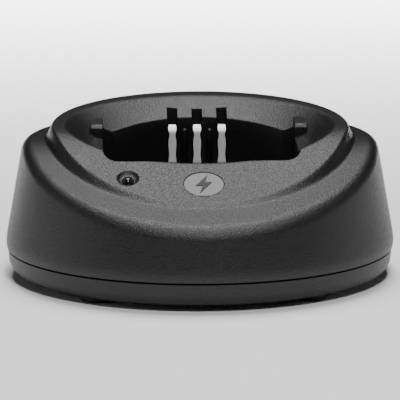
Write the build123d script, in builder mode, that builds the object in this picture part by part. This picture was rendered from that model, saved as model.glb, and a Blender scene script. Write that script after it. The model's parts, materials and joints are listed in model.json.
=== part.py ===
"""Single-bay desktop charger cradle for a hand-held two-way radio.

Millimetres, +Z up, front towards -Y. The origin is on the table, under the middle of the oval base.
"""

import os
from math import atan, cos, degrees, radians, sin, tan

from build123d import *

# ---- oval base and skirt -------------------------------------------------------------------
HALF_WIDTH = 62.5
HALF_DEPTH = 54.0
FOOT_HEIGHT = 1.6
TRAY_TOP = 9.1
TRAY_FLOOR = 2.2
TRAY_INSET = 0.6
TRAY_TAPER = 0.6
TRAY_ROUND = 5.0
TRAY_INSIDE_INSET = 4.3
TONGUE_HEIGHT = 2.0
SKIRT_BOTTOM = 9.7
SKIRT_WIDEST = 12.5
SKIRT_DRAFT = 10.3
SKIRT_LOWER_INSET = 0.3
WALL = 2.2
REACH = 75.0

# ---- side profile: shelf round the collar, and the collar's crown ---------------------------
SHELF_HEIGHT = 44.8
SHELF_BEND_Y = -6.7
SHELF_SLOPE = 0.427
SHELF_BEND_RADIUS = 50.0
SHOULDER_RADIUS = 3.5
CROWN_HEIGHT = 48.85
CROWN_TILT = 0.085
CROWN_BEND_Y = -9.0
CROWN_SLOPE = 0.555
CROWN_BEND_RADIUS = 22.0

# ---- collar and bowl: ovals about COLLAR_Y --------------------------------------------------
COLLAR_Y = 1.0
COLLAR_HALF_WIDTH = 46.9
COLLAR_HALF_DEPTH = 39.6
COLLAR_HEIGHT = 52.0
COLLAR_DRAFT = 20.0
BOWL_RIM = (43.3, 34.5)
BOWL_FLOOR = (35.1, 21.8)
BOWL_DEPTH = 7.0

# ---- radio pocket ---------------------------------------------------------------------------
POCKET_HALF_WIDTH = 31.1
POCKET_FRONT_Y = -21.1
POCKET_STEP_Y = 15.0
POCKET_CORNER = 5.0
POCKET_FLOOR = 13.5
BACK_CENTRE_Y = -12.5
BACK_RADIUS = 39.0
POCKET_WALL = 2.0

# ---- spring contacts, side by side in channels cut into the pocket's bowed back --------------
CONTACT_X = {"left": -8.15, "centre": 0.0, "right": 8.15}
RIB_X = (-4.1, 4.1)
RIB_RADIUS = 1.1
RIB_TOP = 42.6
CHANNEL_WIDTH = 3.5
CHANNEL_BACK_Y = 29.9
CHANNEL_BOTTOM = 18.0
STRIP = 0.35
STRIP_WIDTH = 2.7
ROOT_Y = 29.4
BELLY_Y = 24.675
HINGE_Z = 18.0
ROOTS = [(x, ROOT_Y) for x in CONTACT_X.values()]
BLADE_BEND = [(ROOT_Y, HINGE_Z + 0.15), (BELLY_Y, 31.5), (BELLY_Y, 42.1), (26.8, 43.5)]
BLADE_EDGE = [(1.35, 17.5), (1.35, 30.5), (1.32, 31.8), (1.12, 33.4), (1.25, 36.5)]
BLADE_EDGE += [(1.18, 39.2), (0.98, 40.9), (1.32, 42.4), (1.2, 43.4), (0.75, 44.3)]
POD_HALF_WIDTH = 13.5
POD_BACK_Y = 33.0
BLOCK_FRONT_Y = 26.0
BLOCK_BACK_Y = 33.0

# ---- posts, status light and badge ----------------------------------------------------------
POST_INNER_X = 31.1
POST_OUTER_X = 35.1
POST_FRONT_Y = 9.0
POST_BACK_Y = 17.6
POST_BOTTOM = 39.0
POST_TOP = [(POST_BACK_Y, 47.8), (POST_FRONT_Y + 1, 47.0), (POST_FRONT_Y, 45.9)]
LIGHT_X = -23.5
LIGHT_Y = -28.2
DISH_RADIUS = 3.4
DISH_DEPTH = 0.9
PIPE_RADIUS = 1.85
PIPE_BOTTOM = 10.0
PIPE_TOP = 37.7
LIGHT_GUIDE_BOTTOM = 27.0
LIGHT_GUIDE_RADIUS = 3.4
FLANGE_RADIUS = 2.7
FLANGE_BOTTOM = 25.0
BADGE_Y = -30.8
BADGE_HALF_WIDTH = 6.3
BADGE_HALF_HEIGHT = 5.55
BADGE_RECESS = 0.6
BADGE_THICKNESS = 0.4
BOLT_OUTLINE = [(1.3, 4.2), (-2.6, -0.7), (-0.4, -0.7), (-1.3, -4.2), (2.6, 0.9), (0.4, 0.9)]

# ---- fixings, feet, board and inlet ---------------------------------------------------------
HOUSING_SCREWS = [(-44, -20), (44, -20), (-44, 20), (44, 20)]
BOARD_SCREWS = [(-32, -34), (32, -34), (-32, 22), (32, 22)]
FEET = {
    "front_left": (-33.5, -34),
    "front_right": (33.5, -34),
    "rear_left": (-33.5, 34),
    "rear_right": (33.5, 34),
}
FOOT_RADIUS = 5.0
FOOT_RECESS = 0.6
SCREW_WELL_RADIUS = 3.0
SCREW_SEAT = 4.6
SCREW_PILOT_RADIUS = 1.35
LABEL_WIDTH = 46.0
LABEL_DEPTH = 22.0
LABEL_THICKNESS = 0.15
BOARD_BOTTOM = 6.0
BOARD_THICKNESS = 1.6
BOARD_TOP = BOARD_BOTTOM + BOARD_THICKNESS
BOARD_SIDE = 76.0
BOARD_TAB_HALF_WIDTH = 10.0
BOARD_TAB_Y = 47.5
JACK_HEIGHT = 14.1
JACK_FRONT_Y = 50.3
JACK_LENGTH = 13.4
JACK_BODY_HEIGHT = 10.4
JACK_WIDTH = 9.0
JACK_BORE = 3.15
JACK_BORE_DEPTH = 10.0
JACK_PIN_RADIUS = 1.0
JACK_PIN_ROOT_RADIUS = 1.25
JACK_TAB = 0.5
JACK_BACK_Y = JACK_FRONT_Y - JACK_LENGTH
JACK_TERMINALS = [(0, JACK_BACK_Y - JACK_TAB / 2), (JACK_WIDTH / 2 + JACK_TAB / 2, 44.0)]
INDUCTOR = (-19.5, 33)
INPUT_CAPACITOR = (-30, 30)
OUTPUT_CAPACITOR = (30, 30)


def crown_height(y):
    """Height of the collar's crown, or of the front slope, above the table at depth y."""
    rear = CROWN_HEIGHT + CROWN_TILT * y
    if y > CROWN_BEND_Y:
        return rear
    return CROWN_HEIGHT + CROWN_TILT * CROWN_BEND_Y + CROWN_SLOPE * (y - CROWN_BEND_Y)


def shelf_height(y):
    """Height of the shelf outside the collar at depth y."""
    return SHELF_HEIGHT + SHELF_SLOPE * min(y - SHELF_BEND_Y, 0)


def oval_stack(levels):
    """A solid through ovals at several heights, each level being (height, half width, half depth)."""
    with BuildPart() as stack:
        for height, half_width, half_depth in levels:
            with BuildSketch(Plane.XY.offset(height)):
                Ellipse(half_width, half_depth)
        loft(ruled=True)
    return stack.part


def skirt(inset, bottom):
    """The drafted oval body, drawn in all round by inset."""
    top_inset = (REACH - SKIRT_WIDEST) * tan(radians(SKIRT_DRAFT))
    return oval_stack(
        [
            (bottom, HALF_WIDTH - SKIRT_LOWER_INSET - inset, HALF_DEPTH - SKIRT_LOWER_INSET - inset),
            (SKIRT_WIDEST, HALF_WIDTH - inset, HALF_DEPTH - inset),
            (REACH, HALF_WIDTH - inset - top_inset, HALF_DEPTH - inset - top_inset),
        ]
    )


def under_profile(height_of, bend_y, bend_radius, drop):
    """Everything below a bent roof line that runs front to back, lowered by drop."""
    with BuildPart() as block:
        with BuildSketch(Plane.YZ):
            with BuildLine():
                corners = [(y, height_of(y) - drop) for y in (-REACH, bend_y, REACH)]
                roof = FilletPolyline(*corners, radius=bend_radius)
                Polyline(roof @ 1, (REACH, -1), (-REACH, -1), roof @ 0)
            make_face()
        extrude(amount=REACH, both=True)
    return block.part


def pocket_plan(grow):
    """Plan of the radio pocket, drawn with its walls moved out by grow."""
    half = POCKET_HALF_WIDTH + grow
    front = POCKET_FRONT_Y - grow
    step = POCKET_STEP_Y + grow
    radius = BACK_RADIUS + grow
    with BuildSketch() as plan:
        with Locations((0, (front + step) / 2)):
            RectangleRounded(2 * half, step - front, POCKET_CORNER + grow)
        with Locations((0, step - 5)):
            Rectangle(2 * half, 10)
        with BuildSketch(mode=Mode.PRIVATE) as back:
            with Locations((0, BACK_CENTRE_Y)):
                Circle(radius)
            with Locations((0, BACK_CENTRE_Y + radius)):
                Rectangle(2 * half, 2 * (BACK_CENTRE_Y + radius - step + 1), mode=Mode.INTERSECT)
        add(back.sketch)
    return plan.sketch


def bowl_solid(drop):
    """The space above the bowl's sloping inside, lowered by drop."""
    rim = CROWN_HEIGHT + CROWN_TILT * COLLAR_Y - drop
    ovals = [
        (rim - BOWL_DEPTH, BOWL_FLOOR),
        (rim + BOWL_DEPTH, [2 * at_rim - at_floor for at_rim, at_floor in zip(BOWL_RIM, BOWL_FLOOR)]),
    ]
    with BuildPart() as space:
        for height, oval in ovals:
            with BuildSketch(Plane(origin=(0, COLLAR_Y, height), x_dir=(1, 0, 0), z_dir=(0, -CROWN_TILT, 1))):
                Ellipse(*oval)
        loft(ruled=True)
    return space.part


def save(part, label):
    """Label a finished piece and write it."""
    part.label = label
    export_step(part, f"parts/{label}.step")


os.makedirs("parts", exist_ok=True)

front_slope = degrees(atan(CROWN_SLOPE))
badge_plane = Plane(
    origin=(0, BADGE_Y, crown_height(BADGE_Y)),
    x_dir=(1, 0, 0),
    z_dir=(0, -sin(radians(front_slope)), cos(radians(front_slope))),
)
dish_plane = Plane(
    origin=(LIGHT_X, LIGHT_Y, crown_height(LIGHT_Y)),
    x_dir=(1, 0, 0),
    z_dir=badge_plane.z_dir,
)

# ---- top_housing ----------------------------------------------------------------------------
with BuildPart() as shelf_body:
    add(skirt(0, SKIRT_BOTTOM))
    add(under_profile(shelf_height, SHELF_BEND_Y, SHELF_BEND_RADIUS, 0), mode=Mode.INTERSECT)
    rim = shelf_body.edges().filter_by(lambda edge: edge.bounding_box().min.Z > SKIRT_WIDEST + 1)
    fillet(rim.filter_by(Axis.X, reverse=True), SHOULDER_RADIUS)

with BuildPart() as collar:
    low, high = SHELF_HEIGHT - 20, SHELF_HEIGHT + 12
    spread = tan(radians(COLLAR_DRAFT))
    levels = []
    for height in (low, high):
        grow = (COLLAR_HEIGHT - height) * spread
        levels.append((height, COLLAR_HALF_WIDTH + grow, COLLAR_HALF_DEPTH + grow))
    add(oval_stack(levels).translate((0, COLLAR_Y, 0)))
    add(under_profile(crown_height, CROWN_BEND_Y, CROWN_BEND_RADIUS, 0), mode=Mode.INTERSECT)

# The space for the board: open below, with the pocket, pod, bosses and light guide left standing.
with BuildPart() as cavity:
    add(skirt(WALL, SKIRT_BOTTOM - 1))
    add(under_profile(shelf_height, SHELF_BEND_Y, SHELF_BEND_RADIUS, WALL + 0.3), mode=Mode.INTERSECT)
    add(bowl_solid(WALL), mode=Mode.SUBTRACT)
    with BuildSketch(Plane.XY.offset(POCKET_FLOOR - POCKET_WALL)):
        add(pocket_plan(POCKET_WALL))
    extrude(amount=REACH, mode=Mode.SUBTRACT)
    with BuildSketch(Plane.XY.offset(CHANNEL_BOTTOM)):
        with Locations((0, POD_BACK_Y - 5)):
            Rectangle(2 * POD_HALF_WIDTH, 10)
    extrude(amount=REACH, mode=Mode.SUBTRACT)
    with BuildSketch(Plane.XY.offset(TRAY_TOP + 0.2)):
        with Locations(*HOUSING_SCREWS):
            Circle(3.6)
    extrude(amount=REACH, mode=Mode.SUBTRACT)
    with BuildSketch(Plane.XY.offset(LIGHT_GUIDE_BOTTOM)):
        with Locations((LIGHT_X, LIGHT_Y)):
            Circle(LIGHT_GUIDE_RADIUS)
    extrude(amount=REACH, mode=Mode.SUBTRACT)

with BuildPart() as top_housing:
    add(shelf_body.part)
    add(collar.part)
    add(cavity.part, mode=Mode.SUBTRACT)
    add(bowl_solid(0), mode=Mode.SUBTRACT)
    for side_x in (-POST_OUTER_X, POST_INNER_X):
        with BuildSketch(Plane.YZ.offset(side_x)):
            Polygon((POST_FRONT_Y, POST_BOTTOM), (POST_BACK_Y, POST_BOTTOM), *POST_TOP, align=None)
        extrude(amount=POST_OUTER_X - POST_INNER_X)
    with BuildSketch(Plane.XY.offset(POCKET_FLOOR)):
        add(pocket_plan(0))
    extrude(amount=REACH, mode=Mode.SUBTRACT)
    with BuildSketch(Plane.XY.offset(CHANNEL_BOTTOM)):
        with Locations(*[(x, CHANNEL_BACK_Y - 5) for x in CONTACT_X.values()]):
            Rectangle(CHANNEL_WIDTH, 10)
    extrude(amount=REACH, mode=Mode.SUBTRACT)
    with BuildSketch(Plane.XY.offset(POCKET_FLOOR - 1)):
        with Locations(*[(x, BACK_CENTRE_Y + (BACK_RADIUS**2 - x**2) ** 0.5) for x in RIB_X]):
            Circle(RIB_RADIUS)
    extrude(amount=RIB_TOP - POCKET_FLOOR + 1)
    with BuildSketch(badge_plane):
        Ellipse(BADGE_HALF_WIDTH, BADGE_HALF_HEIGHT)
    extrude(amount=-BADGE_RECESS, mode=Mode.SUBTRACT)
    with BuildSketch(dish_plane):
        Circle(DISH_RADIUS)
    extrude(amount=-DISH_DEPTH, taper=45, mode=Mode.SUBTRACT)
    with BuildSketch(Plane.XY.offset(20)):
        with Locations((LIGHT_X, LIGHT_Y)):
            Circle(PIPE_RADIUS + 0.1)
    extrude(amount=REACH, mode=Mode.SUBTRACT)
    with BuildSketch(Plane.XY.offset(TRAY_TOP)):
        with Locations(*HOUSING_SCREWS):
            Circle(SCREW_PILOT_RADIUS)
    extrude(amount=16, mode=Mode.SUBTRACT)
    with BuildSketch(Plane.XZ.offset(-HALF_DEPTH - 2)):
        with Locations((0, JACK_HEIGHT)):
            Circle(4.2)
    extrude(amount=8, mode=Mode.SUBTRACT)
save(top_housing.part, "top_housing")

# ---- base_tray ------------------------------------------------------------------------------
tray_inside = (HALF_WIDTH - TRAY_INSIDE_INSET, HALF_DEPTH - TRAY_INSIDE_INSET)
tongue_outside = (HALF_WIDTH - SKIRT_LOWER_INSET - WALL - 0.3, HALF_DEPTH - SKIRT_LOWER_INSET - WALL - 0.3)
with BuildPart() as base_tray:
    add(
        oval_stack(
            [
                (FOOT_HEIGHT, HALF_WIDTH - TRAY_INSET - TRAY_TAPER, HALF_DEPTH - TRAY_INSET - TRAY_TAPER),
                (TRAY_TOP, HALF_WIDTH - TRAY_INSET, HALF_DEPTH - TRAY_INSET),
            ]
        )
    )
    fillet(base_tray.faces().sort_by(Axis.Z)[0].edges(), TRAY_ROUND)
    with BuildSketch(Plane.XY.offset(TRAY_TOP)):
        Ellipse(*tongue_outside)
    extrude(amount=TONGUE_HEIGHT)
    with BuildSketch(Plane.XY.offset(FOOT_HEIGHT + TRAY_FLOOR)):
        Ellipse(*tray_inside)
    extrude(amount=REACH, mode=Mode.SUBTRACT)
    with BuildSketch(Plane.XY.offset(FOOT_HEIGHT + TRAY_FLOOR)):
        with Locations(*HOUSING_SCREWS):
            Circle(4.4)
    extrude(amount=TRAY_TOP - FOOT_HEIGHT - TRAY_FLOOR)
    with BuildSketch(Plane.XY.offset(FOOT_HEIGHT + TRAY_FLOOR)):
        with Locations(*BOARD_SCREWS):
            Circle(3.0)
    extrude(amount=BOARD_BOTTOM - FOOT_HEIGHT - TRAY_FLOOR)
    with BuildSketch(Plane.XY.offset(TRAY_TOP)):
        with Locations(*HOUSING_SCREWS):
            Circle(1.6)
    extrude(amount=-TRAY_TOP, mode=Mode.SUBTRACT)
    with BuildSketch(Plane.XY):
        with Locations(*HOUSING_SCREWS):
            Circle(SCREW_WELL_RADIUS)
    extrude(amount=SCREW_SEAT, mode=Mode.SUBTRACT)
    with BuildSketch(Plane.XY.offset(BOARD_BOTTOM)):
        with Locations(*BOARD_SCREWS):
            Circle(1.05)
    extrude(amount=-3, mode=Mode.SUBTRACT)
    with BuildSketch(Plane.XY):
        with Locations(*FEET.values()):
            Circle(FOOT_RADIUS + 0.1)
    extrude(amount=FOOT_HEIGHT + FOOT_RECESS, mode=Mode.SUBTRACT)
    with BuildSketch(Plane.XY):
        RectangleRounded(LABEL_WIDTH + 0.6, LABEL_DEPTH + 0.6, 2)
    extrude(amount=FOOT_HEIGHT + 2 * LABEL_THICKNESS, mode=Mode.SUBTRACT)
    with BuildSketch(Plane.XY.offset(BOARD_TOP - 0.2)):
        with Locations((0, JACK_FRONT_Y - 4)):
            Rectangle(JACK_WIDTH + 0.8, 10)
    extrude(amount=REACH, mode=Mode.SUBTRACT)
save(base_tray.part, "base_tray")

# ---- rubber feet and label ------------------------------------------------------------------
for place, (foot_x, foot_y) in FEET.items():
    with BuildPart() as rubber_foot:
        with BuildSketch():
            with Locations((foot_x, foot_y)):
                Circle(FOOT_RADIUS)
        extrude(amount=FOOT_HEIGHT + FOOT_RECESS)
        fillet(rubber_foot.faces().sort_by(Axis.Z)[0].edges(), 0.5)
    save(rubber_foot.part, f"rubber_foot_{place}")

with BuildPart() as rating_label:
    with BuildSketch(Plane.XY.offset(FOOT_HEIGHT + LABEL_THICKNESS)):
        RectangleRounded(LABEL_WIDTH, LABEL_DEPTH, 1.7)
    extrude(amount=LABEL_THICKNESS)
save(rating_label.part, "rating_label")


# ---- screws ---------------------------------------------------------------------------------
def screws(places, seat, head_radius, head_height, shank_radius, shank_length, upward):
    """A set of cross-recessed screws; upward ones have their heads below the seat."""
    way = 1 if upward else -1
    with BuildPart() as group:
        with BuildSketch(Plane.XY.offset(seat)):
            with Locations(*places):
                Circle(head_radius)
        extrude(amount=-way * head_height)
        outer = group.faces().filter_by(Axis.Z).group_by(Axis.Z)[0 if upward else -1]
        fillet(outer.edges(), head_height * 0.4)
        with BuildSketch(Plane.XY.offset(seat)):
            with Locations(*places):
                Circle(shank_radius)
        extrude(amount=way * shank_length)
        with BuildSketch(Plane.XY.offset(seat - way * head_height)):
            with Locations(*places):
                Rectangle(head_radius * 1.3, 0.5)
                Rectangle(0.5, head_radius * 1.3)
        extrude(amount=way * head_height * 0.55, mode=Mode.SUBTRACT)
    return group.part


save(screws(HOUSING_SCREWS, SCREW_SEAT, 2.7, 2.0, 1.3, 17.0, upward=True), "housing_screws")
save(screws(BOARD_SCREWS, BOARD_TOP, 2.1, 1.4, 1.0, 4.4, upward=False), "board_screws")

# ---- badge and status light -----------------------------------------------------------------
with BuildPart() as badge_inlay:
    with BuildSketch(badge_plane.offset(-BADGE_RECESS)):
        Ellipse(BADGE_HALF_WIDTH - 0.12, BADGE_HALF_HEIGHT - 0.12)
    extrude(amount=BADGE_THICKNESS)
    with BuildSketch(badge_plane.offset(BADGE_THICKNESS - BADGE_RECESS)):
        Polygon(*BOLT_OUTLINE, align=None)
    extrude(amount=0.15)
save(badge_inlay.part, "badge_inlay")

with BuildPart() as led_light_pipe:
    with BuildSketch(Plane.XZ.offset(-LIGHT_Y)):
        with BuildLine():
            Polyline(
                (LIGHT_X, PIPE_TOP),
                (LIGHT_X, PIPE_BOTTOM),
                (LIGHT_X + PIPE_RADIUS, PIPE_BOTTOM),
                (LIGHT_X + PIPE_RADIUS, FLANGE_BOTTOM),
                (LIGHT_X + FLANGE_RADIUS, FLANGE_BOTTOM),
                (LIGHT_X + FLANGE_RADIUS, LIGHT_GUIDE_BOTTOM - 0.1),
                (LIGHT_X + PIPE_RADIUS, LIGHT_GUIDE_BOTTOM - 0.1),
                (LIGHT_X + PIPE_RADIUS, PIPE_TOP - PIPE_RADIUS),
            )
            RadiusArc((LIGHT_X + PIPE_RADIUS, PIPE_TOP - PIPE_RADIUS), (LIGHT_X, PIPE_TOP), -PIPE_RADIUS)
        make_face()
    revolve(axis=Axis((LIGHT_X, LIGHT_Y, 0), (0, 0, 1)))
save(led_light_pipe.part, "led_light_pipe")

with BuildPart() as status_led:
    with BuildSketch(Plane.XY.offset(BOARD_TOP)):
        with Locations((LIGHT_X, LIGHT_Y)):
            Rectangle(3.2, 1.6)
    extrude(amount=0.6)
    with BuildSketch(Plane.XY.offset(BOARD_TOP + 0.6)):
        with Locations((LIGHT_X, LIGHT_Y)):
            Rectangle(2.0, 1.6)
    extrude(amount=0.5, taper=12)
save(status_led.part, "status_led")

# ---- contacts -------------------------------------------------------------------------------
with BuildPart() as contact_block:
    with BuildSketch(Plane.XY.offset(BOARD_TOP)):
        with Locations((0, (BLOCK_FRONT_Y + BLOCK_BACK_Y) / 2)):
            Rectangle(2 * POD_HALF_WIDTH - 1, BLOCK_BACK_Y - BLOCK_FRONT_Y)
        with Locations((0, BACK_CENTRE_Y)):
            Circle(BACK_RADIUS + POCKET_WALL + 0.3, mode=Mode.SUBTRACT)
    extrude(amount=CHANNEL_BOTTOM - 0.2 - BOARD_TOP)
    with BuildSketch(Plane.XY):
        with Locations(*ROOTS):
            Rectangle(STRIP_WIDTH + 0.1, STRIP + 0.1)
    extrude(amount=REACH, mode=Mode.SUBTRACT)
save(contact_block.part, "contact_block")

with BuildPart() as contact_tails:
    with BuildSketch(Plane.XY.offset(BOARD_TOP)):
        with Locations(*ROOTS):
            Rectangle(STRIP_WIDTH, STRIP)
    extrude(amount=HINGE_Z - BOARD_TOP)
    with BuildSketch(Plane.XY.offset(BOARD_TOP)):
        with Locations(*ROOTS):
            Rectangle(1.2, STRIP)
    extrude(amount=-BOARD_THICKNESS - 0.8)
save(contact_tails.part, "contact_tails")

for place, x in CONTACT_X.items():
    with BuildPart() as contact_blade:
        with BuildSketch(Plane.YZ.offset(x)):
            with BuildLine():
                FilletPolyline(*BLADE_BEND, radius=2.0)
            trace(line_width=STRIP)
        extrude(amount=3, both=True)
        with BuildSketch(Plane(origin=(x, 0, 0), x_dir=(1, 0, 0), z_dir=(0, -1, 0))):
            with BuildLine():
                edge = Spline(*BLADE_EDGE)
                mirror(edge, about=Plane.YZ)
                Line(edge @ 0, (-(edge @ 0).X, (edge @ 0).Y))
                Line(edge @ 1, (-(edge @ 1).X, (edge @ 1).Y))
            make_face()
        extrude(amount=-REACH, mode=Mode.INTERSECT)
    save(contact_blade.part, f"contact_blade_{place}")

# ---- charger_board and what is on it --------------------------------------------------------
with BuildPart() as charger_board:
    with BuildSketch(Plane.XY.offset(BOARD_BOTTOM)):
        RectangleRounded(BOARD_SIDE, BOARD_SIDE, 3)
        with Locations((0, (BOARD_SIDE / 2 + BOARD_TAB_Y) / 2 - 2)):
            Rectangle(2 * BOARD_TAB_HALF_WIDTH, BOARD_TAB_Y - BOARD_SIDE / 2 + 4)
        with Locations(*BOARD_SCREWS):
            Circle(1.2, mode=Mode.SUBTRACT)
    extrude(amount=BOARD_THICKNESS)
    with BuildSketch(Plane.XY):
        with Locations(*ROOTS):
            Circle(0.75)
        with Locations(*JACK_TERMINALS):
            Circle(0.9)
    extrude(amount=BOARD_TOP + 1, mode=Mode.SUBTRACT)
save(charger_board.part, "charger_board")

with BuildPart() as dc_jack:
    with BuildSketch(Plane.XZ.offset(-JACK_FRONT_Y)):
        with Locations((0, BOARD_TOP + JACK_BODY_HEIGHT / 2)):
            RectangleRounded(JACK_WIDTH, JACK_BODY_HEIGHT, 0.6)
    extrude(amount=JACK_LENGTH)
    with BuildSketch(Plane.XZ.offset(-JACK_FRONT_Y)):
        with Locations((0, JACK_HEIGHT)):
            Circle(JACK_BORE)
    extrude(amount=JACK_BORE_DEPTH, mode=Mode.SUBTRACT)
    with BuildSketch(Plane.XZ.offset(-JACK_FRONT_Y)):
        with Locations((0, JACK_HEIGHT)):
            Circle(JACK_PIN_ROOT_RADIUS + 0.02)
    extrude(amount=JACK_LENGTH, mode=Mode.SUBTRACT)
save(dc_jack.part, "dc_jack")

# The pin's free end is the stretch that a plug slides over; its thicker root sits in the jack's body.
with BuildPart() as dc_jack_pin:
    with BuildSketch(Plane.XZ.offset(-JACK_BACK_Y)):
        with Locations((0, JACK_HEIGHT)):
            Circle(JACK_PIN_ROOT_RADIUS)
    extrude(amount=-(JACK_LENGTH - JACK_BORE_DEPTH))
    with BuildSketch(Plane.XZ.offset(JACK_BORE_DEPTH - JACK_FRONT_Y)):
        with Locations((0, JACK_HEIGHT)):
            Circle(JACK_PIN_RADIUS)
    extrude(amount=-(JACK_BORE_DEPTH - 1.0))
    fillet(dc_jack_pin.faces().sort_by(Axis.Y)[-1].edges(), 0.6)
save(dc_jack_pin.part, "dc_jack_pin")

with BuildPart() as dc_jack_terminals:
    for (tab_x, tab_y), along_x in zip(JACK_TERMINALS, (True, False)):
        blade = (2.4, JACK_TAB) if along_x else (JACK_TAB, 2.4)
        leg = (1.2, JACK_TAB) if along_x else (JACK_TAB, 1.2)
        with BuildSketch(Plane.XY.offset(BOARD_TOP)):
            with Locations((tab_x, tab_y)):
                Rectangle(*blade)
        extrude(amount=JACK_HEIGHT + 1 - BOARD_TOP)
        with BuildSketch(Plane.XY.offset(BOARD_TOP)):
            with Locations((tab_x, tab_y)):
                Rectangle(*leg)
        extrude(amount=-BOARD_THICKNESS - 0.8)
save(dc_jack_terminals.part, "dc_jack_terminals")


def chip(places, length, width, height, lead, lead_count):
    """Moulded packages lying on the board, with lead_count flat leads on each long side."""
    with BuildPart() as package:
        with BuildSketch(Plane.XY.offset(BOARD_TOP + 0.1)):
            with Locations(*places):
                Rectangle(length, width)
        extrude(amount=height - 0.1)
        chamfer(package.faces().filter_by(Axis.Z).group_by(Axis.Z)[-1].edges(), 0.15)
        pitch = length / lead_count
        with BuildSketch(Plane.XY.offset(BOARD_TOP)):
            with Locations(*places):
                with GridLocations(pitch, width + lead * 0.4, lead_count, 2):
                    Rectangle(pitch * 0.4, lead)
        extrude(amount=0.25)
    return package.part


def can_capacitor(place, radius, height):
    """An upright electrolytic capacitor with a rolled groove above its foot."""
    x, y = place
    with BuildPart() as can:
        with BuildSketch(Plane.XZ.offset(-y)):
            with BuildLine():
                base, top = BOARD_TOP, BOARD_TOP + height
                Polyline((x, base), (x + radius, base), (x + radius, base + 1.2))
                RadiusArc((x + radius, base + 1.2), (x + radius, base + 2.2), 0.6)
                shoulder = (x + radius, top - 0.5), (x + radius - 0.5, top)
                Polyline((x + radius, base + 2.2), *shoulder, (x, top), (x, base))
            make_face()
        revolve(axis=Axis((x, y, 0), (0, 0, 1)))
    return can.part


save(chip([(0, -30)], 4.9, 3.9, 1.5, 0.8, 4), "charge_controller")
save(chip([(11, -31)], 6.5, 6.1, 2.3, 1.2, 2), "power_transistor")
save(chip([(21, -31)], 4.3, 2.6, 2.2, 0.8, 1), "rectifier_diode")
save(chip([(19, 34)], 6.1, 2.7, 2.0, 0.6, 1), "fuse")
chip_places = [(column * 4.0, row * 4.0 - 8.0) for column in range(-3, 4) for row in range(-1, 2)]
save(chip(chip_places, 2.0, 1.25, 0.7, 0.3, 1), "chip_components")
save(can_capacitor(INPUT_CAPACITOR, 4.0, 10.5), "input_capacitor")
save(can_capacitor(OUTPUT_CAPACITOR, 3.15, 11.0), "output_capacitor")

with BuildPart() as inductor_core:
    for bottom, radius, height in ((0, 4.5, 1.0), (1.0, 2.5, 3.4), (4.4, 4.5, 1.0)):
        with BuildSketch(Plane.XY.offset(BOARD_TOP + bottom)):
            with Locations(INDUCTOR):
                Circle(radius)
        extrude(amount=height)
save(inductor_core.part, "inductor_core")

with BuildPart() as inductor_winding:
    with BuildSketch(Plane.XY.offset(BOARD_TOP + 1.0)):
        with Locations(INDUCTOR):
            Circle(4.2)
            Circle(2.5, mode=Mode.SUBTRACT)
    extrude(amount=3.4)
save(inductor_winding.part, "inductor_winding")
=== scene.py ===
"""Desktop charger cradle: looks, light and camera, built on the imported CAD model."""
import json
import math

import bmesh
import bpy
import numpy as np
from mathutils import Matrix, Vector


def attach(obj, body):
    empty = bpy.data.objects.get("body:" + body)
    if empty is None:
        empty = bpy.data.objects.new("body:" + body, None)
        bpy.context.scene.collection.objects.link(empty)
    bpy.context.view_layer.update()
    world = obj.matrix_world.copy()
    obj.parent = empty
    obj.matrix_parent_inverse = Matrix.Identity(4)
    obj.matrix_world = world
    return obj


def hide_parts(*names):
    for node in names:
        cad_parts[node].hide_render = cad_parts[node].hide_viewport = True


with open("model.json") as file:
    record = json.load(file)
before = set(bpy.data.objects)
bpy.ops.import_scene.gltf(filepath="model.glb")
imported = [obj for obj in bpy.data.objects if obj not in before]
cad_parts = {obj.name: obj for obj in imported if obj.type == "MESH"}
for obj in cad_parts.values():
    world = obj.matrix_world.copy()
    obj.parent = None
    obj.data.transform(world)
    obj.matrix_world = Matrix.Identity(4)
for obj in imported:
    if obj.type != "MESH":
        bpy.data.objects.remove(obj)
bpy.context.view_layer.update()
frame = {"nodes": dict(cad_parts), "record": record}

MM = 0.001

# ---- the housing's driving sizes, in millimetres, as in the CAD model -----------------------
HALF_WIDTH = 62.5
HALF_DEPTH = 54.0
SKIRT_BOTTOM = 9.7
SKIRT_WIDEST = 12.5
SKIRT_SLOPE = math.tan(math.radians(10.3))
LOWER_INSET = 0.3
WALL = 2.2
DECK = 2.5
SHELF_HEIGHT = 44.8
SHELF_BEND_Y = -6.7
SHELF_SLOPE = 0.427
CROWN_HEIGHT = 48.85
CROWN_TILT = 0.085
CROWN_BEND_Y = -9.0
CROWN_SLOPE = 0.555
COLLAR_Y = 1.0
COLLAR = (46.9, 39.6)
BOWL_RIM = (43.3, 34.5)
BOWL_FLOOR = (35.1, 21.8)
BOWL_DEPTH = 7.0
POLE_Y = -12.5
POCKET_HALF_WIDTH = 31.1
POCKET_FRONT_Y = -21.1
POCKET_CORNER = 5.0
POCKET_STEP_Y = 15.0
POCKET_FLOOR = 13.5
BACK_RADIUS = 39.0
TUBE_WALL = 2.0
CONTACT_X = (-8.15, 0.0, 8.15)
SLOT_HALF_WIDTH = 1.75
SLOT_BACK_Y = 29.9
SLOT_BOTTOM = 18.0
RIB_X = (-4.1, 4.1)
RIB_RADIUS = 1.1
RIB_TOP = 42.6
RIM_ROUND = 0.25
POST_INNER_X = 31.1
POST_OUTER_X = 35.1
POST_OUTLINE = [(9.0, 38.5), (17.6, 38.5), (17.6, 47.8), (10.0, 47.0), (9.0, 45.9)]
LIGHT_X = -23.5
LIGHT_Y = -28.2
DISH_RADIUS = 3.4
BADGE_Y = -30.8
BADGE = (6.3, 5.55)
BADGE_RECESS = 0.6
JACK_HEIGHT = 14.1
SCREWS = [(x, y) for x in (-44, 44) for y in (-20, 20)]
SHOULDER = 3.4
BOSS_RADIUS = 3.6
BOSS_HEIGHTS = (9.3, 34)
PILOT_RADIUS = 1.35
PILOT_HEIGHTS = (9, 25)
GUIDE_RADIUS = 3.4
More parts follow.
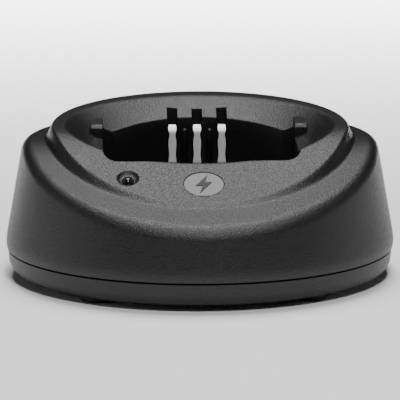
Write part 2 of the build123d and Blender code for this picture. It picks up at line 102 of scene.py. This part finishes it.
GUIDE_HEIGHTS = (27, 35)
BORE_RADIUS = 1.95
BORE_HEIGHTS = (20, 41)
INLET_RADIUS = 4.2
INLET_Y = 48.7
INLET_LENGTH = 7
SLOT_FRONT_Y = 19
POD_HALF_WIDTH = 13.5
POD_DEPTHS = (27.2, 33)
POD_TOP = 43
POST_BEVEL = 0.22
BADGE_THICKNESS = 0.4
BOLT_HEIGHT = 0.15

# ---- the housing's look; every edge sharper than SHARP is left unsmoothed --------------------
HOUSING_LOOK = ((0.005, 0.005, 0.0052), 0.42, 0.17)
SHARP = math.radians(35)


# ---- the housing's surface as a height over the table ---------------------------------------
def soft(t, width):
    """A ramp that is 0 below 0 and t above it, rounded over width."""
    return width * np.logaddexp(0, t / width)


def step(t):
    """A smooth step from 0 to 1."""
    t = np.clip(t, 0, 1)
    return t * t * t * (10 - 15 * t + 6 * t * t)


def shelf(y):
    """The shelf outside the collar: level behind, sloping down to the front."""
    return SHELF_HEIGHT - SHELF_SLOPE * soft(SHELF_BEND_Y - y, 4)


def rim_plane(y):
    """The tilted plane of the collar's rim."""
    return CROWN_HEIGHT + CROWN_TILT * y


def crown(y):
    """The collar's top: the rim plane behind, and the front slope before it."""
    sloped = rim_plane(y) - (CROWN_SLOPE - CROWN_TILT) * soft(CROWN_BEND_Y - y, 2.5)
    low = shelf(y) + 0.3
    return sloped + soft(low - sloped, 0.4)


def from_oval(x, y, oval):
    """Distance outside an oval about the collar's centre, along the ray from that centre."""
    reach = np.hypot(x, y - COLLAR_Y) + 1e-9
    return reach - reach / np.hypot(x / oval[0], (y - COLLAR_Y) / oval[1])


def deck_height(x, y):
    """Height of the housing's top at x, y, before the pocket's edge is rounded."""
    lip = 1 - step((from_oval(x, y, COLLAR) + 0.3) / 3.6)
    outside = shelf(y) + (crown(y) - shelf(y)) * lip
    to_rim, to_floor = from_oval(x, y, BOWL_RIM), from_oval(x, y, BOWL_FLOOR)
    drop = BOWL_DEPTH * to_rim / (to_rim - to_floor)
    drop = BOWL_DEPTH - soft(BOWL_DEPTH - drop, 0.5)
    return outside - soft(outside - (rim_plane(y) - drop), 0.25)


# ---- plan of the pocket, as distances outside it --------------------------------------------
def union(a, b, blend):
    """The nearer of two distances, with the corner between them rounded."""
    h = np.maximum(blend - np.abs(a - b), 0) / blend
    return np.minimum(a, b) - h * h * blend / 4


def pocket_distance(x, y):
    """Distance outside the pocket's plan, leaving out its contact channels."""
    centre = (POCKET_FRONT_Y + POCKET_STEP_Y) / 2
    corner = np.where(y < centre, POCKET_CORNER, 0.6)
    qx = np.abs(x) - POCKET_HALF_WIDTH + corner
    qy = np.abs(y - centre) - (POCKET_STEP_Y - POCKET_FRONT_Y) / 2 + corner
    body = np.minimum(np.maximum(qx, qy), 0) + np.hypot(np.maximum(qx, 0), np.maximum(qy, 0)) - corner
    bow = np.maximum(np.hypot(x, y - POLE_Y) - BACK_RADIUS, 10 - y)
    return union(body, bow, 0.5)


# ---- rings about the pole -------------------------------------------------------------------
def ring_angles():
    """Directions of the rings' points, closer together round the pocket's rear corners."""
    angles = set(np.round(np.arange(0, 360, 0.75), 4))
    for corner in (41.5, 45.15):
        angles.update(corner + np.linspace(-1.2, 1.2, 17))
        angles.update(180 - corner + np.linspace(-1.2, 1.2, 17))
    angles = np.array(sorted(angles))
    keep = np.append(np.diff(angles) > 0.03, True)
    return np.radians(angles[keep])


ANGLES = ring_angles()


def at(reach):
    """Plan position of the ring points at a distance reach from the pole."""
    return reach * np.cos(ANGLES), POLE_Y + reach * np.sin(ANGLES)


def reach_of_oval(centre_y, half_width, half_depth):
    """Distance from the pole to an oval, in each direction."""
    dx, dy = np.cos(ANGLES), np.sin(ANGLES)
    offset = POLE_Y - centre_y
    a = (dx / half_width) ** 2 + (dy / half_depth) ** 2
    b = offset * dy / half_depth**2
    c = (offset / half_depth) ** 2 - 1
    return (-b + np.sqrt(b * b - a * c)) / a


def reach_of_pocket(grow=0.0):
    """Distance from the pole to the pocket's plan grown by grow, in each direction."""
    low, high = np.full_like(ANGLES, 2.0), np.full_like(ANGLES, 60.0)
    for _ in range(34):
        middle = (low + high) / 2
        outside = pocket_distance(*at(middle)) > grow
        high = np.where(outside, middle, high)
        low = np.where(outside, low, middle)
    return (low + high) / 2


def skirt_reach(z, inset=0.0):
    """Distance from the pole to the skirt at height z, drawn in by inset."""
    below = np.clip((SKIRT_WIDEST - z) / 2.8, 0, 1)
    draw = SKIRT_SLOPE * soft(z - SKIRT_WIDEST, 0.8) + LOWER_INSET * below**2
    return reach_of_oval(0, HALF_WIDTH - inset - draw, HALF_DEPTH - inset - draw)


def corner_of(inset, drop):
    """Where the skirt meets the shelf, in each direction."""
    z = np.full_like(ANGLES, 35.0)
    for _ in range(25):
        reach = skirt_reach(z, inset)
        z = shelf(at(reach)[1]) - drop
    return reach, z


def top_rings():
    """The pocket's floor and wall, the bowl, collar, shelf, shoulder and skirt, from the inside out."""
    rings = []
    edge = reach_of_pocket()
    edge_z = deck_height(*at(edge)) - RIM_ROUND
    for share in (0.2, 0.4, 0.6, 0.8):
        rings.append(((edge - 1) * share, np.full_like(ANGLES, POCKET_FLOOR)))
    for turn in np.radians((0, 22.5, 45, 67.5, 90)):
        level = POCKET_FLOOR + 1 - math.cos(turn)
        rings.append((reach_of_pocket(math.sin(turn) - 1), np.full_like(ANGLES, level)))
    for share in np.linspace(0.12, 1, 9):
        rings.append((edge, POCKET_FLOOR + 1 + (edge_z - POCKET_FLOOR - 1) * share))
    outer = [edge + away for away in (0.02, 0.06, 0.12, 0.19, 0.27, 0.45, 0.8, 1.3)]
    floor, rim = reach_of_oval(COLLAR_Y, *BOWL_FLOOR), reach_of_oval(COLLAR_Y, *BOWL_RIM)
    outer += between(outer[-1], np.maximum(floor + 1.5, outer[-1] + 0.8), 10)
    outer += between(outer[-1], rim - 1.2, 10)
    outer += between(outer[-1], rim + 1.2, 12)
    collar = reach_of_oval(COLLAR_Y, *COLLAR)
    outer += between(outer[-1], collar - 0.8, 3)
    outer += between(outer[-1], collar + 4.2, 26)
    corner_reach, corner_z = corner_of(0, 0)
    shoulder = corner_reach - SHOULDER
    outer += between(outer[-1], shoulder, 12)
    for reach in outer:
        x, y = at(reach)
        away = np.clip(pocket_distance(x, y), 0, RIM_ROUND)
        drop = RIM_ROUND - np.sqrt(RIM_ROUND**2 - (RIM_ROUND - away) ** 2)
        rings.append((reach, deck_height(x, y) - drop))
    low_z = corner_z - SHOULDER
    ends = (shoulder, deck_height(*at(shoulder))), (corner_reach, corner_z), (skirt_reach(low_z), low_z)
    for t in np.linspace(0, 1, 15)[1:]:
        rings.append(tuple(arc_blend(t, *(end[k] for end in ends)) for k in (0, 1)))
    for share in np.linspace(0, 1, 10)[1:]:
        z = low_z + (15 - low_z) * share
        rings.append((skirt_reach(z), z))
    for z in (14, 13.3, 12.7, 12.1, 11.5, 10.9, 10.3, 9.95, SKIRT_BOTTOM + 0.1):
        rings.append((skirt_reach(np.full_like(ANGLES, z)), np.full_like(ANGLES, z)))
    rings.append((skirt_reach(np.full_like(ANGLES, SKIRT_BOTTOM)) - 0.12, np.full_like(ANGLES, SKIRT_BOTTOM)))
    return rings


def arc_blend(t, start, corner, end, weight=0.8):
    """A conic from start to end that leans towards corner."""
    parts = (1 - t) ** 2, 2 * t * (1 - t) * weight, t * t
    return (parts[0] * start + parts[1] * corner + parts[2] * end) / sum(parts)


def between(start, end, count):
    """Rings evenly spaced after start, up to and with end."""
    return [start + (end - start) * k / count for k in range(1, count + 1)]


def inner_rings():
    """The inside of the skirt, the deck's underside and the outside of the pocket, from the outside in."""
    rings = []
    corner_reach, corner_z = corner_of(WALL, DECK)
    for share in (0, 0.33, 0.66, 1):
        z = SKIRT_BOTTOM + (corner_z - SKIRT_BOTTOM) * share
        rings.append((skirt_reach(z, WALL), z))
    tube = reach_of_pocket(TUBE_WALL)
    for reach in between(corner_reach, tube, 14):
        x, y = at(reach)
        rings.append((reach, np.minimum(shelf(y) - DECK, deck_height(x, y) - WALL)))
    for level in (30, 20, POCKET_FLOOR - TUBE_WALL):
        rings.append((tube, np.full_like(ANGLES, level)))
    for share in (0.7, 0.4, 0.15):
        rings.append((tube * share, np.full_like(ANGLES, POCKET_FLOOR - TUBE_WALL)))
    return rings


# ---- meshes ---------------------------------------------------------------------------------
def piece(name, verts, faces):
    """A new object from points in millimetres, smooth but for its sharp edges."""
    mesh = bpy.data.meshes.new(name)
    mesh.from_pydata([Vector(v) * MM for v in verts], [], faces)
    mesh.validate()
    mesh.polygons.foreach_set("use_smooth", [True] * len(mesh.polygons))
    mesh.set_sharp_from_angle(angle=SHARP)
    made = bpy.data.objects.new(name, mesh)
    bpy.context.scene.collection.objects.link(made)
    return made


def closed_rings(name, rings, start, end):
    """A closed skin over rings of points, ending in the points start and end."""
    count = len(rings[0])
    verts = [tuple(p) for ring in rings for p in ring] + [start, end]
    faces = []
    for low in range(0, (len(rings) - 1) * count, count):
        for k in range(count):
            n = (k + 1) % count
            faces.append((low + k, low + n, low + count + n, low + count + k))
    top = (len(rings) - 1) * count
    for k in range(count):
        n = (k + 1) % count
        faces.append((len(verts) - 2, n, k))
        faces.append((len(verts) - 1, top + k, top + n))
    return piece(name, verts, faces)


def carve(target, tool, operation, solver="MANIFOLD"):
    """Join a tool to the target or cut it away with a boolean, and drop the tool."""
    change = target.modifiers.new(operation, "BOOLEAN")
    change.operation = operation
    change.object = tool
    change.solver = solver
    bpy.context.view_layer.update()
    result = bpy.data.meshes.new_from_object(target.evaluated_get(bpy.context.evaluated_depsgraph_get()))
    target.modifiers.clear()
    target.data = result
    bpy.data.objects.remove(tool)


def housing():
    """The whole top housing as one closed mesh."""
    rings = []
    for reach, z in top_rings() + inner_rings():
        x, y = at(reach)
        rings.append(np.column_stack((x, y, z)))
    floor, underside = (0, POLE_Y, POCKET_FLOOR), (0, POLE_Y, POCKET_FLOOR - TUBE_WALL)
    return closed_rings("housing_shell", rings, floor, underside)


def crown_frame(x, y):
    """Where the front slope is at x, y, with local +Z square to it."""
    tilt = Matrix.Rotation(math.atan(CROWN_SLOPE), 4, "X")
    return Matrix.Translation(Vector((x, y, float(crown(y))))) @ tilt


def turned(name, profile, oval, place, count):
    """A closed solid turned from a profile of (growth, height) on an oval, standing in the frame place."""
    rings = []
    for growth, height in profile:
        ring = []
        for k in range(count):
            turn = 2 * math.pi * k / count
            local = (oval[0] + growth) * math.cos(turn), (oval[1] + growth) * math.sin(turn), height
            ring.append(place @ Vector(local))
        rings.append(ring)
    ends = [place @ Vector((0, 0, profile[k][1])) for k in (0, -1)]
    return closed_rings(name, rings, *ends)


def block(name, outline, x_low, x_high, bevel):
    """A solid with the outline (y, z) between two x values, its edges rounded by bevel."""
    count = len(outline)
    verts = [(x, y, z) for x in (x_low, x_high) for y, z in outline]
    faces = [tuple(range(count)), tuple(reversed(range(count, 2 * count)))]
    faces += [(k, k + count, (k + 1) % count + count, (k + 1) % count) for k in range(count)]
    made = piece(name, verts, faces)
    shape = bmesh.new()
    shape.from_mesh(made.data)
    bmesh.ops.recalc_face_normals(shape, faces=shape.faces)
    bmesh.ops.bevel(shape, geom=shape.edges, offset=bevel * MM, segments=3, profile=0.5, affect="EDGES")
    shape.to_mesh(made.data)
    shape.free()
    return made


def box(name, low, high):
    """A block with sharp edges, from one corner to the other."""
    outline = [(low[1], low[2]), (high[1], low[2]), (high[1], high[2]), (low[1], high[2])]
    return block(name, outline, low[0], high[0], 0)


def upright(x, y):
    """The frame of an upright round feature at x, y."""
    return Matrix.Translation((x, y, 0))


def rod(name, radius, heights, place, count):
    """An upright cylinder between two heights, at a place in plan."""
    return turned(name, [(0, level) for level in heights], (radius, radius), upright(*place), count)


def finish_housing(shell):
    """Inlet hole, posts, screw bosses, light guide, contact pod, channels, ribs, badge recess and dish."""
    back = Matrix.Translation((0.02, INLET_Y, JACK_HEIGHT)) @ Matrix.Rotation(-math.pi / 2, 4, "X")
    inlet = turned("inlet", [(0, 0), (0, INLET_LENGTH)], (INLET_RADIUS, INLET_RADIUS), back, 63)
    carve(shell, inlet, "DIFFERENCE")
    for low, high in ((-POST_OUTER_X, -POST_INNER_X), (POST_INNER_X, POST_OUTER_X)):
        carve(shell, block("post", POST_OUTLINE, low, high, POST_BEVEL), "UNION")
    for place in SCREWS:
        carve(shell, rod("boss", BOSS_RADIUS, BOSS_HEIGHTS, place, 32), "UNION")
        carve(shell, rod("pilot", PILOT_RADIUS, PILOT_HEIGHTS, place, 24), "DIFFERENCE")
    light = (LIGHT_X, LIGHT_Y)
    carve(shell, rod("guide", GUIDE_RADIUS, GUIDE_HEIGHTS, light, 32), "UNION")
    pod_low = (-POD_HALF_WIDTH, POD_DEPTHS[0], SLOT_BOTTOM)
    pod_high = (POD_HALF_WIDTH, POD_DEPTHS[1], POD_TOP)
    carve(shell, box("pod", pod_low, pod_high), "UNION")
    for x in CONTACT_X:
        low = (x - SLOT_HALF_WIDTH, SLOT_FRONT_Y, SLOT_BOTTOM - 0.05)
        high = (x + SLOT_HALF_WIDTH, SLOT_BACK_Y, 60)
        carve(shell, box("channel", low, high), "DIFFERENCE")
    turns = np.radians((0, 20, 40, 60, 75, 88))
    dome = [(RIB_RADIUS * (math.cos(turn) - 1), RIB_TOP - 1 + math.sin(turn)) for turn in turns]
    for x in RIB_X:
        place = upright(x, POLE_Y + math.sqrt(BACK_RADIUS**2 - x**2))
        rib = turned("rib", [(0, POCKET_FLOOR - 1), *dome], (RIB_RADIUS, RIB_RADIUS), place, 32)
        carve(shell, rib, "UNION")
    recess = [(-0.25, -BADGE_RECESS), (-0.05, -BADGE_RECESS + 0.03), (0, -BADGE_RECESS + 0.1), (0, -0.2)]
    recess += [(0.05, -0.08), (0.15, 0.0), (0.6, 0.3)]
    carve(shell, turned("recess", recess, BADGE, crown_frame(0, BADGE_Y), 128), "DIFFERENCE")
    dish = [(-1.5, -0.9), (-1.1, -0.82), (-0.7, -0.62), (-0.35, -0.38), (-0.05, -0.15)]
    dish += [(0.1, -0.04), (0.3, 0.03), (1, 0.4)]
    carve(shell, turned("dish", dish, (DISH_RADIUS, DISH_RADIUS), crown_frame(*light), 96), "DIFFERENCE")
    # The manifold solver never finishes this cut, so it is the last one and takes the exact solver.
    carve(shell, rod("bore", BORE_RADIUS, BORE_HEIGHTS, light, 40), "DIFFERENCE", "EXACT")
    shell.data.validate()
    shell.data.set_sharp_from_angle(angle=SHARP)


shell = housing()
finish_housing(shell)
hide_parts("top_housing")
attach(shell, "cradle")

# ---- camera ---------------------------------------------------------------------------------
def look(where, target):
    """Rotation that points an object at where towards target."""
    return (Vector(target) - Vector(where)).to_track_quat("-Z", "Y").to_euler()


camera = bpy.data.objects.new("camera", bpy.data.cameras.new("camera"))
bpy.context.scene.collection.objects.link(camera)
bpy.context.scene.camera = camera
camera.location = (-0.0335, -0.8726, 0.2177)
camera.rotation_euler = look(camera.location, (0, 0, 0.0240))
camera.data.lens = 249.8
camera.data.sensor_width = 36.0
camera.data.clip_start = 0.05
camera.data.clip_end = 20


# ---- materials ------------------------------------------------------------------------------
class Surface:
    """A material built from noise in the object's own space."""

    def __init__(self, name, color, rough, metallic=0.0, specular=0.5):
        self.material = bpy.data.materials.new(name)
        self.material.use_nodes = True
        self.tree = self.material.node_tree
        self.shader = self.tree.nodes["Principled BSDF"]
        self.shader.inputs["Metallic"].default_value = metallic
        self.shader.inputs["Specular IOR Level"].default_value = specular
        self.color, self.rough = color, rough
        self.place = self.node("ShaderNodeTexCoord").outputs["Object"]
        self.height = None

    def node(self, kind, **values):
        """A new shader node with the given settings."""
        made = self.tree.nodes.new(kind)
        for key, value in values.items():
            setattr(made, key, value)
        return made

    def noise(self, size, detail=3.0, stretch=(1, 1, 1)):
        """Noise from 0 to 1 whose features are about size millimetres across."""
        spread = self.node("ShaderNodeMapping")
        spread.inputs["Scale"].default_value = stretch
        self.tree.links.new(self.place, spread.inputs["Vector"])
        made = self.node("ShaderNodeTexNoise")
        made.inputs["Scale"].default_value = 1000 / size
        made.inputs["Detail"].default_value = detail
        self.tree.links.new(spread.outputs["Vector"], made.inputs["Vector"])
        return made.outputs["Fac"]

    def between(self, fac, low, high, start=0.3, end=0.7):
        """Map fac from start..end to low..high."""
        made = self.node("ShaderNodeMapRange")
        for key, value in (("From Min", start), ("From Max", end), ("To Min", low), ("To Max", high)):
            made.inputs[key].default_value = value
        self.tree.links.new(fac, made.inputs["Value"])
        return made.outputs["Result"]

    def mottle(self, fac, amount):
        """Vary the colour by a share amount with fac."""
        mix = self.node("ShaderNodeMix", data_type="RGBA")
        mix.inputs["A"].default_value = (*(c * (1 - amount) for c in self.color), 1)
        mix.inputs["B"].default_value = (*(min(c * (1 + amount), 1) for c in self.color), 1)
        self.tree.links.new(self.between(fac, 0, 1), mix.inputs["Factor"])
        self.tree.links.new(mix.outputs["Result"], self.shader.inputs["Base Color"])
        return mix

    def uneven(self, fac, amount):
        """Vary the roughness by amount with fac."""
        rough = self.between(fac, self.rough - amount, self.rough + amount)
        self.tree.links.new(rough, self.shader.inputs["Roughness"])

    def bump(self, fac, depth):
        """Raise the surface by fac times depth millimetres."""
        made = self.node("ShaderNodeBump")
        made.inputs["Distance"].default_value = depth * MM
        self.tree.links.new(fac, made.inputs["Height"])
        if self.height is not None:
            self.tree.links.new(self.height, made.inputs["Normal"])
        self.height = made.outputs["Normal"]
        self.tree.links.new(self.height, self.shader.inputs["Normal"])


def grained(name, color, rough, depth, size=0.42, specular=0.5):
    """Moulded plastic or rubber with spark-eroded grain and slightly uneven gloss."""
    surface = Surface(name, color, rough, specular=specular)
    grain = surface.noise(size, 4.0)
    surface.mottle(surface.noise(size * 2, 4.0), 0.35)
    surface.uneven(grain, 0.14)
    surface.bump(surface.noise(size * 2.2, 2.0), depth * 0.15)
    surface.bump(grain, depth)
    return surface


def smooth_plastic(name, color, rough):
    """Moulded plastic with a smooth face and faint flow marks."""
    surface = Surface(name, color, rough)
    surface.mottle(surface.noise(1.2, 3.0), 0.12)
    surface.uneven(surface.noise(3, 4.0), 0.06)
    surface.bump(surface.noise(1.5, 3.0), 0.01)
    return surface


def metal(name, color, rough, stretch=(1, 1, 1), metallic=1.0):
    """Plated or bare metal with rolling marks along one way."""
    surface = Surface(name, color, rough, metallic)
    surface.mottle(surface.noise(1.6, 4.0, stretch), 0.10)
    surface.uneven(surface.noise(0.8, 4.0, stretch), 0.08)
    surface.bump(surface.noise(0.5, 3.0, stretch), 0.006)
    return surface


def badge_surface(name, plate, bolt, rough):
    """The inlay's satin plate, with the raised bolt on it darker."""
    surface = Surface(name, plate, rough)
    mix = surface.mottle(surface.noise(0.5, 3.0), 0.2)
    square = crown_frame(0, BADGE_Y)
    normal = square.to_3x3() @ Vector((0, 0, 1))
    above = surface.node("ShaderNodeVectorMath", operation="DOT_PRODUCT")
    above.inputs[1].default_value = normal
    surface.tree.links.new(surface.place, above.inputs[0])
    edge = (square.translation.dot(normal) - BADGE_RECESS + BADGE_THICKNESS + BOLT_HEIGHT / 2) * MM
    blend = 0.01 * MM
    raised = surface.between(above.outputs["Value"], 0, 1, edge - blend, edge + blend)
    paint = surface.node("ShaderNodeMix", data_type="RGBA")
    paint.inputs["B"].default_value = (*bolt, 1)
    surface.tree.links.new(raised, paint.inputs["Factor"])
    surface.tree.links.new(mix.outputs["Result"], paint.inputs["A"])
    surface.tree.links.new(paint.outputs["Result"], surface.shader.inputs["Base Color"])
    surface.tree.links.new(surface.between(raised, rough, 0.62, 0, 1), surface.shader.inputs["Roughness"])
    surface.bump(surface.noise(0.4, 3.0), 0.012)
    return surface


# Each slot has the function that makes it, its colour, its roughness and what else that function takes.
ALONG = (4, 4, 0.25)
LOOKS = {
    "housing_plastic": (grained, *HOUSING_LOOK),
    "tray_plastic": (grained, *HOUSING_LOOK),
    "badge_plastic": (badge_surface, (0.010, 0.010, 0.0105), (0.001, 0.001, 0.001), 0.36),
    "light_pipe_plastic": (smooth_plastic, (0.008, 0.008, 0.008), 0.12),
    "led_lens": (smooth_plastic, (0.80, 0.81, 0.72), 0.25),
    "label_film": (smooth_plastic, (0.60, 0.61, 0.62), 0.45),
    "screw_steel": (metal, (0.55, 0.56, 0.57), 0.35),
    "block_plastic": (smooth_plastic, (0.03, 0.03, 0.03), 0.5),
    "contact_metal": (metal, (0.98, 0.95, 0.91), 0.40, ALONG, 0.1),
    "board_laminate": (smooth_plastic, (0.02, 0.14, 0.05), 0.4),
    "jack_plastic": (smooth_plastic, (0.02, 0.02, 0.02), 0.45),
    "jack_metal": (metal, (0.75, 0.70, 0.56), 0.3),
    "chip_plastic": (smooth_plastic, (0.025, 0.025, 0.027), 0.5),
    "fuse_ceramic": (smooth_plastic, (0.72, 0.70, 0.60), 0.6),
    "chip_ceramic": (smooth_plastic, (0.42, 0.34, 0.24), 0.5),
    "can_aluminium": (metal, (0.74, 0.75, 0.76), 0.28, ALONG),
    "ferrite": (grained, (0.06, 0.06, 0.065), 0.6, 0.02, 0.4),
    "copper_wire": (metal, (0.72, 0.36, 0.20), 0.3, (0.5, 0.5, 6)),
    "foot_rubber": (grained, (0.016, 0.016, 0.016), 0.7, 0.015, 0.5, 0.3),
}
MATERIALS = {slot: make(slot, *values) for slot, (make, *values) in LOOKS.items()}


def dress(target, slot):
    """Give a piece or node its material."""
    target.data.materials.clear()
    target.data.materials.append(MATERIALS[slot].material)


dress(shell, "housing_plastic")
for part in frame["record"]["subparts"]:
    if part["node"] != "top_housing":
        dress(frame["nodes"][part["node"]], part["material_slot"])


# ---- light ----------------------------------------------------------------------------------
def panel(name, where, target, size, power):
    """A soft box light."""
    lamp = bpy.data.lights.new(name, "AREA")
    lamp.shape = "RECTANGLE"
    lamp.size, lamp.size_y = size
    lamp.energy = power
    made = bpy.data.objects.new(name, lamp)
    made.location = where
    made.rotation_euler = look(where, target)
    bpy.context.scene.collection.objects.link(made)


panel("overhead", (0, 0.165, 0.95), (0, 0, 0.03), (0.56, 0.50), 10.6)
panel("front", (0.05, -0.55, 0.75), (0, 0, 0.03), (0.16, 0.16), 4.2)
panel("backdrop", (0, 0.75, 0.55), (0, 1.2, 0), (2.2, 0.5), 70)
panel("side", (-0.95, -0.12, 0.22), (0, 0, 0.03), (0.40, 0.35), 0.9)
panel("side", (0.95, 0.06, 0.20), (0, 0, 0.03), (0.35, 0.35), 0.65)

reach = 3000
corners = [(-reach, -reach, 0), (reach, -reach, 0), (reach, reach, 0), (-reach, reach, 0)]
floor = piece("floor", corners, [(0, 1, 2, 3)])
paper = Surface("paper", (0.95, 0.95, 0.95), 0.85, specular=0.2)
paper.mottle(paper.noise(60, 2.0), 0.004)
paper.uneven(paper.noise(20, 2.0), 0.02)
floor.data.materials.append(paper.material)

world = bpy.data.worlds.new("world")
bpy.context.scene.world = world
world.use_nodes = True
sky = world.node_tree.nodes["Background"]
sky.inputs["Color"].default_value = (1, 1, 1, 1)
sky.inputs["Strength"].default_value = 0.02
